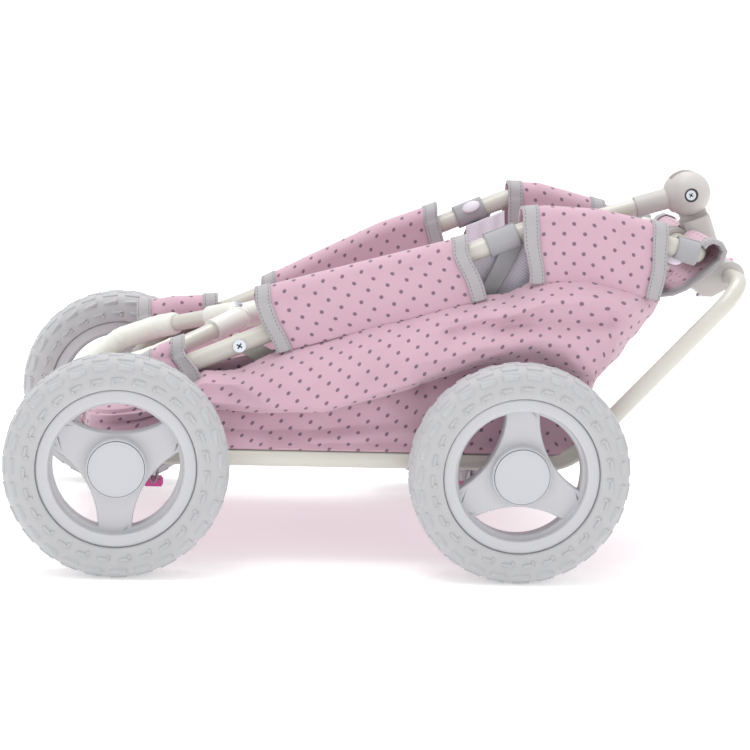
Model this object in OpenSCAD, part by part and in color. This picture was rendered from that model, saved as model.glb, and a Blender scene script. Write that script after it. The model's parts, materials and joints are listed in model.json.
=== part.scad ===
// Doll stroller, folded flat for storage. Real size, millimetres, +Z up, floor at Z = 0.
// -X is the front, +X is the rear, where the handle is hinged. Left is -Y and right is +Y.
// The origin is on the floor, in the middle of the folded stroller's length and width.

/* [Wheels] */
// Outside diameter of each wheel
wheel_d = 178; // [150:1:220]
// Width of each tyre
tyre_w = 40; // [30:1:48]
// Distance between the two axles
wheelbase = 321; // [300:1:386]
// Distance between the middles of the left and right tyres
track = 340; // [310:1:400]
// Diameter of the steel axles
axle_d = 8; // [6:0.5:9]

/* [Chassis] */
// Diameter of the chassis tube
chassis_d = 14; // [12:0.5:16]
// Angle of the rear risers above the floor
riser_angle = 47.6; // [44:0.1:52]
// Length of the rear risers, up to the rear cross bar
riser_len = 205; // [190:1:220]
// Wall of every steel tube
tube_wall = 1; // [0.8:0.1:1.5]

/* [Seat rim] */
// Diameter of the seat rim tube
rim_d = 16; // [14:0.5:18]
// Angle of the folded rim below the level
rim_angle = 23.3; // [21:0.1:25]
// Length of the folding stay's two equal links, between pivots
stay_len = 98; // [92:1:104]
// Width of the stay links
stay_w = 14; // [10:1:16]
// Thickness of the fabric parts
fabric_t = 3; // [2:0.5:4]

/* [Handle] */
// Diameter of the handle tube
handle_d = 14; // [12:0.5:16]
// Diameter of the foam grip
foam_d = 20; // [18:0.5:22]
// Distance from the handle pivot to the yoke
stem_len = 400; // [390:1:406]
// Angle of the folded handle below the level
stem_angle = 17; // [16:0.1:18]
// Diameter of the ball-shaped knuckle
knuckle_d = 41; // [36:1:44]

/* [Hidden] */
$fn = 64;

run_gap = 0.05;   // radial clearance of a shaft in its bore
skin = 0.5;       // gap between a tube and a fabric part around it
bend_step = 0.1;  // a bend's wall stands this much proud of the straights on both faces
bend_lap = 0.5;   // and each straight runs this far into it
cream = "#e9e4d8";
plastic = "#ddd4ca";
pink = "#e7b9cb";
webbing = "#bdb8b6";
hot_pink = "#ea5fae";
wheel_white = "#e9e9ea";
steel = "#c9ccd0";
LEFT = -1;
RIGHT = 1;

// Lengthways: the folded stroller runs from the front tyres to the fold button
wheel_r = wheel_d / 2;
axle_z = wheel_r;
button_reach = 21;
riser_set_back = 46;
front_end_x = -wheelbase / 2 - wheel_r;
rear_end_x = wheelbase / 2 + riser_set_back + riser_len * cos(riser_angle) + button_reach;
mid_x = -(front_end_x + rear_end_x) / 2;
front_axle_x = mid_x - wheelbase / 2;
rear_axle_x = mid_x + wheelbase / 2;

// Sideways stations, from the middle outwards
chassis_y = track / 2 - tyre_w / 2 - 20;
panel_y = chassis_y - chassis_d / 2 - 4;
rim_y = chassis_y - 30;
stay_t = 3;
upper_stay_y = rim_y - rim_d / 2 - 2;
lower_stay_y = upper_stay_y - stay_t - 1;
tub_y = lower_stay_y - stay_t - 2;
loop_y = rim_y - rim_d / 2 - 4 - foam_d / 2;

// Chassis
front_bar_x = front_axle_x - 44.5;
riser_x = rear_axle_x + riser_set_back;
bar_x = riser_x + riser_len * cos(riser_angle);
bar_z = axle_z + riser_len * sin(riser_angle);
front_bend = 40;
riser_bend = 45;
rear_bend = 28;

// Post and handle pivot
post_lean = 20.7;
post_len = 65;
pivot_x = bar_x - post_len * sin(post_lean);
pivot_z = bar_z + post_len * cos(post_lean);
tongue_t = 12;
tongue_r = 15;
bolt_r = 3;
hub_half = 80;
hub_r = 12.5;

// Seat rim: hinge H, top corner C, stay pivot P, front bends B and A
hinge_x = bar_x - 31;
hinge_z = bar_z + 19.5;
crest_x = hinge_x - 114;
crest_z = hinge_z + 30;
stay_along = 287;
stay_px = crest_x - stay_along * cos(rim_angle);
stay_pz = crest_z - stay_along * sin(rim_angle);
toe_along = 350;
toe_x = crest_x - toe_along * cos(rim_angle);
toe_z = crest_z - toe_along * sin(rim_angle);
rim_front_x = toe_x - 28;
rim_front_z = toe_z - 26;
rim_bend = 20;
crest_bend = 90;

// Folding stays: each pair of equal links folds at a knee behind the line P to F
stay_fx = stay_px;
stay_fz = axle_z;
knee_z = (stay_pz + stay_fz) / 2;
knee_x = stay_px + sqrt(stay_len * stay_len - pow((stay_pz - stay_fz) / 2, 2));

// Handle
yoke_x = pivot_x - stem_len * cos(stem_angle);
yoke_z = pivot_z - stem_len * sin(stem_angle);
arm_y = 27;
arm_start = [yoke_x - 11.5, arm_y, yoke_z - 3.5];
arm_wide = [arm_start.x - 56, loop_y, arm_start.z - 20];
grip_top = [arm_start.x - 88, loop_y, arm_start.z - 31.7];
grip_end = [arm_start.x - 133, loop_y, arm_start.z - 68];
function mirror_y(p) = [p.x, -p.y, p.z];
foam_start = arm_start + 0.7 * (arm_wide - arm_start);
arm_inset = arm_start + 10 / norm(arm_wide - arm_start) * (arm_start - arm_wide);
loop_points = [arm_inset, arm_wide, grip_top, grip_end,
               mirror_y(grip_end), mirror_y(grip_top), mirror_y(arm_wide), mirror_y(arm_inset)];
foam_points = [foam_start, arm_wide, grip_top, grip_end,
               mirror_y(grip_end), mirror_y(grip_top), mirror_y(arm_wide), mirror_y(foam_start)];
loop_bends = [0, 26, 24, 28, 28, 24, 26, 0];

// ---------- helpers ----------

// Turns +Z to run from p towards q, starting at p
module along(p, q) {
    v = q - p;
    translate(p)
        rotate([0, acos(v.z / norm(v)), atan2(v.y, v.x)])
            children();
}

function unit(v) = v / norm(v);
function turn(a, b, c) = acos(max(-1, min(1, unit(b - a) * unit(c - b))));
function setback(a, b, c, r) = r == 0 ? 0 : r * tan(turn(a, b, c) / 2);

module ring2d(d, wall) {
    difference() {
        circle(d = d);
        circle(d = d - 2 * wall);
    }
}

// One rounded corner at b of a tube that comes from a and goes on to c
module bend(a, b, c, r, d, wall) {
    into = unit(b - a);
    out = unit(c - b);
    axis = unit(cross(into, out));
    side = cross(axis, into);
    begin = b - into * setback(a, b, c, r);
    centre = begin + side * r;
    x = -side;
    multmatrix([[x.x, into.x, axis.x, centre.x],
                [x.y, into.y, axis.y, centre.y],
                [x.z, into.z, axis.z, centre.z],
                [0, 0, 0, 1]])
        rotate_extrude(angle = turn(a, b, c))
            translate([r, 0]) ring2d(d + 2 * bend_step, wall + 2 * bend_step);
}

// A bent tube through the points, with a bend radius at each inner point
module tube(points, bends, d, wall) {
    last = len(points) - 1;
    for (i = [0 : last - 1]) {
        a = points[i];
        b = points[i + 1];
        dir = unit(b - a);
        start = i == 0 ? a : a + dir * (setback(points[i - 1], a, b, bends[i]) - bend_lap);
        stop = i + 1 == last ? b : b - dir * (setback(a, b, points[i + 2], bends[i + 1]) - bend_lap);
        if ((stop - start) * dir > 2 * bend_lap)
            along(start, stop) linear_extrude(norm(stop - start)) ring2d(d, wall);
    }
    for (i = [1 : last - 1])
        bend(points[i - 1], points[i], points[i + 1], bends[i], d, wall);
}

// A rod across the stroller between two widths
module cross_rod(x, z, d, y0, y1) {
    translate([x, y0, z]) rotate([-90, 0, 0]) cylinder(d = d, h = y1 - y0);
}

// A side slab: an outline in X and Z, from |Y| = inner outwards
module slab(side, inner, t) {
    y0 = side > 0 ? inner : -inner - t;
    translate([0, y0 + t, 0]) rotate([90, 0, 0]) linear_extrude(t) children();
}

// ---------- wheels ----------

rim_r = 63;
opening_r = 50;
cap_r = 22;
window_chord = 70;
window_sag = 9;

module wheel_at(x, side) {
    translate([x, side * track / 2, axle_z])
        rotate([side > 0 ? -90 : 90, 0, 0])
            children();
}

module tyre(x, side) {
    shoulder = 7;
    w = tyre_w / 2;
    color(wheel_white) wheel_at(x, side) rotate_extrude()
        polygon([[rim_r + 0.05, -w + 3], [wheel_r - shoulder, -w], [wheel_r, -w + shoulder],
                 [wheel_r, w - shoulder], [wheel_r - shoulder, w], [rim_r + 0.05, w - 3]]);
}

// One lens-shaped window between two spokes, from tip to tip of a chord of the opening
module window2d() {
    half = window_chord / 2;
    chord_y = sqrt(opening_r * opening_r - half * half);
    arc_r = (half * half + window_sag * window_sag) / (2 * window_sag);
    intersection() {
        circle(r = opening_r);
        translate([0, chord_y - window_sag + arc_r]) circle(r = arc_r);
    }
}

module rim(x, side, turn_by) {
    web = 14;
    w = tyre_w / 2 - 4;
    color(wheel_white) wheel_at(x, side) difference() {
        union() {
            rotate_extrude() polygon([[opening_r + 3, -w], [rim_r, -w], [rim_r, w], [opening_r + 3, w]]);
            cylinder(r = opening_r + 4, h = web, center = true);
            translate([0, 0, -w]) cylinder(r = cap_r + 2, h = 2 * w);
        }
        for (i = [0 : 2])
            rotate(turn_by + 120 * i) linear_extrude(web + 2, center = true) window2d();
        cylinder(d = axle_d + 2 * run_gap, h = 4 * w, center = true);
        translate([0, 0, w - 9]) cylinder(r = cap_r - 2, h = 10);
    }
}

module cap(x, side) {
    w = tyre_w / 2 - 4;
    color(wheel_white) wheel_at(x, side) difference() {
        union() {
            translate([0, 0, w + 0.1]) cylinder(r = cap_r, h = 0.7);
            translate([0, 0, w - 4]) cylinder(r = cap_r - 2.3, h = 5);
        }
        translate([0, 0, w - 5]) cylinder(r = cap_r - 4.5, h = 5);
    }
}

front_turn = 0;
rear_turn = 60;
module front_left_tyre() tyre(front_axle_x, LEFT);
module front_left_rim() rim(front_axle_x, LEFT, front_turn);
module front_left_cap() cap(front_axle_x, LEFT);
module front_right_tyre() tyre(front_axle_x, RIGHT);
module front_right_rim() rim(front_axle_x, RIGHT, front_turn);
module front_right_cap() cap(front_axle_x, RIGHT);
module rear_left_tyre() tyre(rear_axle_x, LEFT);
module rear_left_rim() rim(rear_axle_x, LEFT, rear_turn);
module rear_left_cap() cap(rear_axle_x, LEFT);
module rear_right_tyre() tyre(rear_axle_x, RIGHT);
module rear_right_rim() rim(rear_axle_x, RIGHT, rear_turn);
module rear_right_cap() cap(rear_axle_x, RIGHT);

// ---------- axles and what is on them ----------

axle_half = track / 2 + tyre_w / 2 - 11;

module axle(x) color(steel) cross_rod(x, axle_z, axle_d, -axle_half, axle_half);
module front_axle() axle(front_axle_x);
module rear_axle() axle(rear_axle_x);

module collar(x, y0, y1, d) {
    difference() {
        cross_rod(x, axle_z, d, y0, y1);
        cross_rod(x, axle_z, axle_d + 2 * run_gap, y0 - 1, y1 + 1);
    }
}

module wheel_spacers() {
    inner = chassis_y + chassis_d / 2 + 0.2;
    outer = track / 2 - tyre_w / 2 + 3.8;
    color(plastic) for (x = [front_axle_x, rear_axle_x]) {
        collar(x, inner, outer, 15);
        collar(x, -outer, -inner, 15);
    }
}

module axle_push_nuts() {
    inner = track / 2 + tyre_w / 2 - 12.8;
    color(steel) for (x = [front_axle_x, rear_axle_x]) {
        collar(x, inner, inner + 1, 16);
        collar(x, -inner - 1, -inner, 16);
    }
}

module stay_rod() color(steel) cross_rod(stay_fx, stay_fz, axle_d, -chassis_y + 4, chassis_y - 4);

// ---------- chassis tube, in four lengths ----------

module chassis_tube(side) {
    front = [front_bar_x + front_bend, side * chassis_y, axle_z];
    corner = [riser_x, side * chassis_y, axle_z];
    top = [bar_x, side * chassis_y, bar_z];
    upper = top - unit(top - corner) * rear_bend;
    color(cream) difference() {
        tube([front, corner, upper], [0, riser_bend, 0], chassis_d, tube_wall);
        for (x = [front_axle_x, rear_axle_x])
            cross_rod(x, axle_z, axle_d + 2 * run_gap, -track, track);
        // The stay rod ends inside the tubes, so only their inner walls are drilled for it
        cross_rod(stay_fx, axle_z, axle_d + 2 * run_gap, -chassis_y, chassis_y);
    }
}
module chassis_tube_left() chassis_tube(LEFT);
module chassis_tube_right() chassis_tube(RIGHT);

module chassis_front_bar() {
    back = front_bar_x + front_bend;
    color(cream) tube([[back, -chassis_y, axle_z], [front_bar_x, -chassis_y, axle_z],
                       [front_bar_x, chassis_y, axle_z], [back, chassis_y, axle_z]],
                      [0, front_bend, front_bend, 0], chassis_d, tube_wall);
}

module chassis_rear_bar() {
    drop = rear_bend * [cos(riser_angle), 0, sin(riser_angle)];
    left = [bar_x, -chassis_y, bar_z];
    right = [bar_x, chassis_y, bar_z];
    color(cream) tube([left - drop, left, right, right - drop],
                      [0, rear_bend, rear_bend, 0], chassis_d, tube_wall);
}

// ---------- rear hub, post, seat bracket and fold button ----------

// Section of the hub in X and Z around the rear bar
module hub2d() {
    circle(r = hub_r);
    polygon([[-27, 3], [-24, 5], [-14, 5.5], [-3, 9], [-3, -11], [-14, -17.5],
             [-22, -17.5], [-28, -12], [-30, -5]]);
}

module hub_body() {
    translate([bar_x, hub_half, bar_z]) rotate([90, 0, 0])
        linear_extrude(2 * hub_half) hub2d();
}

screw_ys = [-62, 62];
module hub_screw_holes(d) {
    for (y = screw_ys)
        translate([bar_x - 20, y, bar_z - 40]) cylinder(d = d, h = 43);
}

module hub_cut() {
    cross_rod(bar_x, bar_z, chassis_d + 2 * run_gap, -track, track);
    hub_screw_holes(4.2);
    translate([bar_x, 0, bar_z]) rotate([0, 90, 0]) cylinder(r = 5.6, h = 40);
}

module hub_upper() {
    color(plastic) difference() {
        hub_body();
        hub_cut();
        translate([bar_x - 50, -track, bar_z - 50]) cube([100, 2 * track, 50.1]);
        translate([bar_x - 50, -15.2, bar_z - 50]) cube([100, 30.4, 100]);
    }
}

module hub_lower() {
    color(plastic) difference() {
        hub_body();
        hub_cut();
        translate([bar_x - 50, -track, bar_z]) cube([100, 2 * track, 50]);
    }
}

module hub_screws() {
    color(steel) for (y = screw_ys) {
        translate([bar_x - 20, y, bar_z - 18]) cylinder(d = 4, h = 20);
        translate([bar_x - 20, y, bar_z - 19.75]) cylinder(d = 7.5, h = 2.2);
    }
}

// The post: a rounded column that leans forward from the hub to a tongue at the pivot
module post_shape(grow) {
    width = 30 + 2 * grow;
    depth = 24 + 2 * grow;
    translate([bar_x, 0, bar_z]) rotate([0, -post_lean, 0]) {
        translate([-depth / 2, -width / 2 + 6, 8]) cube([depth, width - 12, post_len - 30]);
        translate([-depth / 2 + 6, -width / 2, 8]) cube([depth - 12, width, post_len - 30]);
        for (x = [-depth / 2 + 6, depth / 2 - 6], y = [-width / 2 + 6, width / 2 - 6])
            translate([x, y, 8]) cylinder(r = 6, h = post_len - 30);
    }
}

module handle_post() {
    color(plastic) difference() {
        union() {
            post_shape(0);
            translate([bar_x, 0, bar_z]) rotate([0, -post_lean, 0])
                translate([-11, -tongue_t / 2, post_len - 25]) cube([22, tongue_t, 22]);
            cross_rod(pivot_x, pivot_z, 2 * tongue_r, -tongue_t / 2, tongue_t / 2);
        }
        cross_rod(pivot_x, pivot_z, 2 * (bolt_r + run_gap), -20, 20);
        cross_rod(bar_x, bar_z, chassis_d + 2 * run_gap, -track, track);
    }
}

// A clip on the front of the post, in which the seat rim's rear bar turns
module seat_bracket() {
    half = 9;
    color(plastic) difference() {
        union() {
            cross_rod(hinge_x, hinge_z, rim_d + 8, -half, half);
            translate([hinge_x, -half, hinge_z - 6]) cube([20, 2 * half, 12]);
        }
        cross_rod(hinge_x, hinge_z, rim_d + 2 * run_gap, -half - 1, half + 1);
        post_shape(0.1);
        translate([bar_x, -half - 1, bar_z]) rotate([0, -post_lean, 0])
            translate([0, 0, -10]) cube([40, 2 * half + 2, 80]);
    }
}

module fold_button() {
    color(hot_pink) translate([bar_x, 0, bar_z]) rotate([0, 90, 0]) {
        translate([0, 0, 11.5]) cylinder(r = 5.5, h = button_reach - 11.5);
    }
}

// ---------- handle ----------

stem_dir = [-cos(stem_angle), 0, -sin(stem_angle)];
pivot = [pivot_x, 0, pivot_z];
yoke = [yoke_x, 0, yoke_z];

module handle_knuckle() {
    r = knuckle_d / 2;
    slot = tongue_t + 0.8;
    color(plastic) difference() {
        union() {
            translate(pivot) sphere(r = r);
            along(pivot + 12 * stem_dir, pivot + 46 * stem_dir) cylinder(d = 18, h = 34);
        }
        cross_rod(pivot_x, pivot_z, 2 * tongue_r + 1, -slot / 2, slot / 2);
        // The slot stays shut on the stem's side only
        translate(pivot) rotate([90, 0, 0]) linear_extrude(slot, center = true)
            rotate(180 + stem_angle) polygon([[0, 0], [44, 36], [-40, 60], [-60, 0], [-40, -60], [28, -40]]);
        cross_rod(pivot_x, pivot_z, 2 * (bolt_r + run_gap), -30, 30);
        cross_rod(pivot_x, pivot_z, 12.2, r - 6, 30);
        cross_rod(pivot_x, pivot_z, 12.2, -30, -r + 6);
        along(pivot + 26 * stem_dir, yoke) cylinder(d = handle_d + 0.1, h = 40);
    }
}

module handle_pivot_bolt() {
    head_y = knuckle_d / 2 - 6;
    color(steel) {
        cross_rod(pivot_x, pivot_z, 2 * bolt_r, -head_y - 1, head_y + 1);
        cross_rod(pivot_x, pivot_z, 8.6, head_y + 0.9, head_y + 3.6);
        cross_rod(pivot_x, pivot_z, 8.6, -head_y - 3.6, -head_y - 0.9);
    }
}

module knuckle_rings() {
    head_y = knuckle_d / 2 - 6;
    color("#4b4a4c") for (s = [LEFT, RIGHT]) difference() {
        cross_rod(pivot_x, pivot_z, 12, s * (head_y + 1.5) - 1.4, s * (head_y + 1.5) + 1.4);
        cross_rod(pivot_x, pivot_z, 8.8, -40, 40);
    }
}

module handle_stem() {
    start = pivot + 26.2 * stem_dir;
    stop = yoke - 2 * stem_dir;
    color(cream) along(start, stop) linear_extrude(norm(stop - start)) ring2d(handle_d, tube_wall);
}

// A moulded yoke that joins the stem to the two arms of the loop
module handle_yoke() {
    back = yoke - 22 * stem_dir;
    sleeve_d = handle_d + 5;
    color(plastic) difference() {
        union() {
            along(back, yoke) cylinder(d = sleeve_d, h = 26);
            translate(yoke) rotate([90, 0, 0]) cylinder(d = sleeve_d, h = 2 * arm_y - 12, center = true);
            for (s = [1, -1]) {
                a = [arm_inset.x, s * arm_inset.y, arm_inset.z];
                b = [arm_wide.x, s * arm_wide.y, arm_wide.z];
                along(a - 8 * unit(b - a), b) cylinder(d = sleeve_d, h = 34);
            }
        }
        
        along(back - 2 * stem_dir, yoke) cylinder(d = handle_d + 0.1, h = 22.5);
        for (s = [1, -1]) {
            a = [arm_inset.x, s * arm_inset.y, arm_inset.z];
            b = [arm_wide.x, s * arm_wide.y, arm_wide.z];
            along(a - 0.2 * unit(b - a), b) cylinder(d = handle_d + 0.1, h = 40);
        }
        for (s = [-8, 8])
            translate([yoke_x, s, yoke_z]) cylinder(d = 3.2, h = 40, center = true);
    }
}

module yoke_screws() {
    color(steel) for (s = [-8, 8]) {
        translate([yoke_x, s, yoke_z - 8]) cylinder(d = 3, h = 17.9);
        translate([yoke_x, s, yoke_z + 9.7]) cylinder(d = 6, h = 1.8);
    }
}

module handle_loop() color(cream) tube(loop_points, loop_bends, handle_d, tube_wall);

module grip_foam()
    color("#d9d5c6") tube(foam_points, loop_bends, foam_d, (foam_d - handle_d) / 2 - 0.3);

// ---------- seat rim ----------

module rim_tube(side) {
    y = side * rim_y;
    front = [rim_front_x, y, rim_front_z];
    toe = [toe_x, y, toe_z];
    crest = [crest_x, y, crest_z];
    rear = [hinge_x, y, hinge_z];
    color(cream) difference() {
        tube([front + rim_bend * unit(toe - front), toe, crest, rear - rim_bend * unit(rear - crest)],
             [0, 24, crest_bend, 0], rim_d, tube_wall);
        cross_rod(stay_px, stay_pz, 5 + 2 * run_gap, -track, track);
    }
}
module rim_tube_left() rim_tube(LEFT);
module rim_tube_right() rim_tube(RIGHT);

// A cross bar of the rim, with its two bends, that goes on towards the point 'next'
module rim_bar(x, z, next) {
    dir = rim_bend * unit(next - [x, 0, z]);
    l = [x, -rim_y, z];
    r = [x, rim_y, z];
    color(cream) tube([l + dir, l, r, r + dir], [0, rim_bend, rim_bend, 0], rim_d, tube_wall);
}
module rim_front_bar() rim_bar(rim_front_x, rim_front_z, [toe_x, 0, toe_z]);
module rim_rear_bar() rim_bar(hinge_x, hinge_z, [crest_x, 0, crest_z]);

module stay_screws() {
    inner = upper_stay_y - stay_t - 0.6;
    outer = rim_y + rim_d / 2;
    color(steel) for (s = [LEFT, RIGHT]) {
        cross_rod(stay_px, stay_pz, 5, s > 0 ? inner : -outer - 0.3, s > 0 ? outer + 0.3 : -inner);
        cross_rod(stay_px, stay_pz, 10.5, s > 0 ? outer + 0.2 : -outer - 2.4,
                  s > 0 ? outer + 2.4 : -outer - 0.2);
    }
}

// ---------- fabric parts ----------

// The tub's outline seen from the side: front lip, floor and sloping back
function tub_outline(inset) = [
    [rim_front_x + 12 + inset, rim_front_z + 1],
    [rim_front_x + 16 + inset, rim_front_z - 18 + inset],
    [crest_x - 100, axle_z + 26 + inset],
    [crest_x + 40 - inset, axle_z + 58 + inset],
    [hinge_x - 26 - inset, hinge_z - 14],
    [crest_x, crest_z - 22],
    [toe_x, toe_z - 16]
];

module seat_tub() {
    lift = 30;
    color(pink) difference() {
        translate([0, tub_y, 0]) rotate([90, 0, 0]) linear_extrude(2 * tub_y) polygon(tub_outline(0));
        translate([0, tub_y - fabric_t, 0]) rotate([90, 0, 0]) linear_extrude(2 * (tub_y - fabric_t))
            polygon(concat([for (i = [0 : 4]) tub_outline(fabric_t)[i]],
                           [[hinge_x - 26 - fabric_t, hinge_z - 14 + lift],
                            [crest_x, crest_z - 22 + lift],
                            [toe_x, toe_z - 16 + lift],
                            [rim_front_x + 12 + fabric_t, rim_front_z + 1 + lift]]));
    }
}

module basket() {
    floor_z = axle_z - 13;
    top_z = axle_z + 14;
    half = panel_y - fabric_t - 0.5;
    front = front_bar_x + 23;
    rear = riser_x + 4;
    color(pink) difference() {
        translate([0, half, 0]) rotate([90, 0, 0]) linear_extrude(2 * half)
            polygon([[front, floor_z], [rear, floor_z], [rear + 24, top_z], [front, top_z]]);
        translate([0, half - fabric_t, 0]) rotate([90, 0, 0]) linear_extrude(2 * (half - fabric_t))
            polygon([[front + fabric_t, floor_z + fabric_t], [rear - 2, floor_z + fabric_t],
                     [rear + 23, top_z + 1], [front + fabric_t, top_z + 1]]);
        for (x = [front_axle_x, rear_axle_x, stay_fx])
            cross_rod(x, axle_z, axle_d + 1, -track, track);
    }
}

// Side panels hang outside the seat rim and meet the chassis tubes
module side_panel(side) {
    low = axle_z + 10;
    color(pink) slab(side, panel_y - fabric_t, fabric_t)
        polygon([[stay_px - 17, low], [riser_x + 14, low], [hinge_x - 40, hinge_z - 38],
                 [crest_x - 2, crest_z - 60], [stay_px + 2, stay_pz - 52]]);
}
module side_panel_left() side_panel(LEFT);
module side_panel_right() side_panel(RIGHT);

flap_y = rim_y + rim_d / 2 + skin;

// A flap of the seat fabric on the outside of the rim, between two distances from the crest
module flap(side, from, to, drop) {
    top = rim_d / 2 + 2;
    color(pink) slab(side, flap_y, fabric_t)
        translate([crest_x, crest_z]) rotate(180 + rim_angle)
            polygon([[from, -top], [to, -top], [to - 4, drop], [from + 4, drop]]);
}
module front_flap_left() flap(LEFT, 317, 352, 36);
module front_flap_right() flap(RIGHT, 317, 352, 36);
module middle_flap_left() flap(LEFT, 78, 266, 46);
module middle_flap_right() flap(RIGHT, 78, 266, 46);

module rear_flap(side) {
    color(pink) slab(side, flap_y, fabric_t)
        translate([crest_x, crest_z])
            polygon([[-24, 1], [0, 6], [30, 3], [78, -9], [66, -64], [-24, -60]]);
}
module rear_flap_left() rear_flap(LEFT);
module rear_flap_right() rear_flap(RIGHT);

// Mesh liner panels inside the rim, in the gap between the middle and rear flaps
module mesh_liners() {
    color("#f2eef2") for (side = [LEFT, RIGHT])
        slab(side, rim_y - rim_d / 2 - 3, 1.5)
            translate([crest_x, crest_z])
                polygon([[-80, -44], [-30, -24], [60, -36], [52, -80], [-70, -84]]);
}

// Webbing bands wrapped round the rim tube, two on each side
module webbing_bands() {
    rear = unit([hinge_x - crest_x, 0, hinge_z - crest_z]);
    front = unit([toe_x - crest_x, 0, toe_z - crest_z]);
    color(webbing) for (side = [LEFT, RIGHT]) {
        crest = [crest_x, side * rim_y, crest_z];
        along(crest + 44 * front, crest + 66 * front)
            linear_extrude(22) ring2d(rim_d + 2 * skin + 3, 1.5);
        along(crest + 80 * rear, crest + 96 * rear)
            linear_extrude(16) ring2d(rim_d + 2 * skin + 3, 1.5);
    }
}

module band_snaps() {
    color("#e6e0ee") for (side = [LEFT, RIGHT]) {
        slab(side, rim_y + rim_d / 2 + skin + 2, 2.5)
            translate([crest_x + 88, crest_z - 23 - 2]) circle(r = 6);
        slab(side, rim_y + rim_d / 2 + skin + 2, 2.5)
            translate([crest_x - 51, crest_z - 23]) circle(r = 6);
    }
}

module basket_straps() {
    color(webbing) for (x = [front_axle_x + 30, rear_axle_x - 30], y = [-95, 95])
        difference() {
            translate([x - 2, y - 10, axle_z - 26]) cube([4, 20, 12.8]);
            translate([x - 5, y - 6, axle_z - 24]) cube([10, 12, 6]);
        }
}

module strap_buckles() {
    color(hot_pink) for (x = [front_axle_x + 30, rear_axle_x - 30], y = [-95, 95]) {
        translate([x - 7, y - 9, axle_z - 32]) cube([14, 18, 5.8]);
        for (i = [-1 : 1])
            translate([x - 8, y + 5 * i - 1, axle_z - 31]) cube([16, 2, 4]);
    }
}

// ---------- folding stays ----------

// A flat link with round ends between two points, on one side
module link(side, outer, p, q, hole_p, hole_q) {
    v = q - p;
    slab(side, outer - stay_t, stay_t) difference() {
        union() {
            translate(p) circle(d = stay_w);
            translate(q) circle(d = stay_w);
            translate(p) rotate(atan2(v.y, v.x)) translate([0, -stay_w / 2]) square([norm(v), stay_w]);
        }
        translate(p) circle(d = hole_p);
        translate(q) circle(d = hole_q);
    }
}

pin = 5 + 2 * run_gap;
module upper_stay(side) color(cream)
    link(side, upper_stay_y, [stay_px, stay_pz], [knee_x, knee_z], pin, pin);
module lower_stay(side) color(cream)
    link(side, lower_stay_y, [stay_fx, stay_fz], [knee_x, knee_z], axle_d + 2 * run_gap, pin);
module upper_stay_left() upper_stay(LEFT);
module upper_stay_right() upper_stay(RIGHT);
module lower_stay_left() lower_stay(LEFT);
module lower_stay_right() lower_stay(RIGHT);

// ---------- the assembly ----------

front_left_tyre();
front_left_rim();
front_left_cap();
front_right_tyre();
front_right_rim();
front_right_cap();
rear_left_tyre();
rear_left_rim();
rear_left_cap();
rear_right_tyre();
rear_right_rim();
rear_right_cap();
chassis_tube_left();
chassis_tube_right();
chassis_front_bar();
chassis_rear_bar();
front_axle();
rear_axle();
wheel_spacers();
axle_push_nuts();
stay_rod();
hub_upper();
hub_lower();
hub_screws();
handle_post();
seat_bracket();
fold_button();
basket();
side_panel_left();
side_panel_right();
basket_straps();
strap_buckles();
handle_knuckle();
handle_pivot_bolt();
knuckle_rings();
handle_stem();
handle_yoke();
yoke_screws();
handle_loop();
grip_foam();
rim_tube_left();
rim_tube_right();
rim_front_bar();
rim_rear_bar();
seat_tub();
front_flap_left();
front_flap_right();
middle_flap_left();
middle_flap_right();
rear_flap_left();
rear_flap_right();
mesh_liners();
webbing_bands();
band_snaps();
stay_screws();
upper_stay_left();
upper_stay_right();
lower_stay_left();
lower_stay_right();
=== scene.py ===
# %% [markdown]
# # A folded doll stroller
# The CAD model gives every tube, wheel, hinge and screw, and its joints. This script dresses it: it gives
# the hard parts their finishes, builds the tyres' tread, and sews the fabric round the folded frame.
# Everything is in metres in the model's own frame: X runs from the front wheels to the back, Y across,
# Z up from the floor. The left side, with Y below zero, is the near one.

import json
import math

import bmesh
import bpy
import numpy as np
from mathutils import Matrix, Vector

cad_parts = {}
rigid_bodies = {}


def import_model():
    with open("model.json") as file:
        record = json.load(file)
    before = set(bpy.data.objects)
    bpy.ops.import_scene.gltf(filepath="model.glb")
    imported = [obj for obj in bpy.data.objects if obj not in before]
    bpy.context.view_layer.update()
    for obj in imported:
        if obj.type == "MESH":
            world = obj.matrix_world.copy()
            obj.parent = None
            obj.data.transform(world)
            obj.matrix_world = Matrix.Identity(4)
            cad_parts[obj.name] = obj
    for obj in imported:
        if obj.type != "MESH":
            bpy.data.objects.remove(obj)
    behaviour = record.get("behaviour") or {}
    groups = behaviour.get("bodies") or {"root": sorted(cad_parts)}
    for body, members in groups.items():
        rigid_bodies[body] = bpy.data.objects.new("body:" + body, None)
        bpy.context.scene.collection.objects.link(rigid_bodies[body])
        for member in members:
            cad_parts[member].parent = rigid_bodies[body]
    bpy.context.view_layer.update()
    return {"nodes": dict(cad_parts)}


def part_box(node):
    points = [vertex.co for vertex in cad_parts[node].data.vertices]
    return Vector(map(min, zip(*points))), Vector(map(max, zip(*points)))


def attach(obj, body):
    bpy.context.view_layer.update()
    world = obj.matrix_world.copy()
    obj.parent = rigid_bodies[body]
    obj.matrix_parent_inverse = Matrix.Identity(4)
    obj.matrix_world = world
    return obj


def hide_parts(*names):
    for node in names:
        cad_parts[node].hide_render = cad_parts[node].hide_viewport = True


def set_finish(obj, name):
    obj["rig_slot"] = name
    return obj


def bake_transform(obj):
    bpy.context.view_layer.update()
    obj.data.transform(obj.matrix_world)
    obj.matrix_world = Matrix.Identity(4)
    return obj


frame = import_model()
nodes = frame["nodes"]

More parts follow.
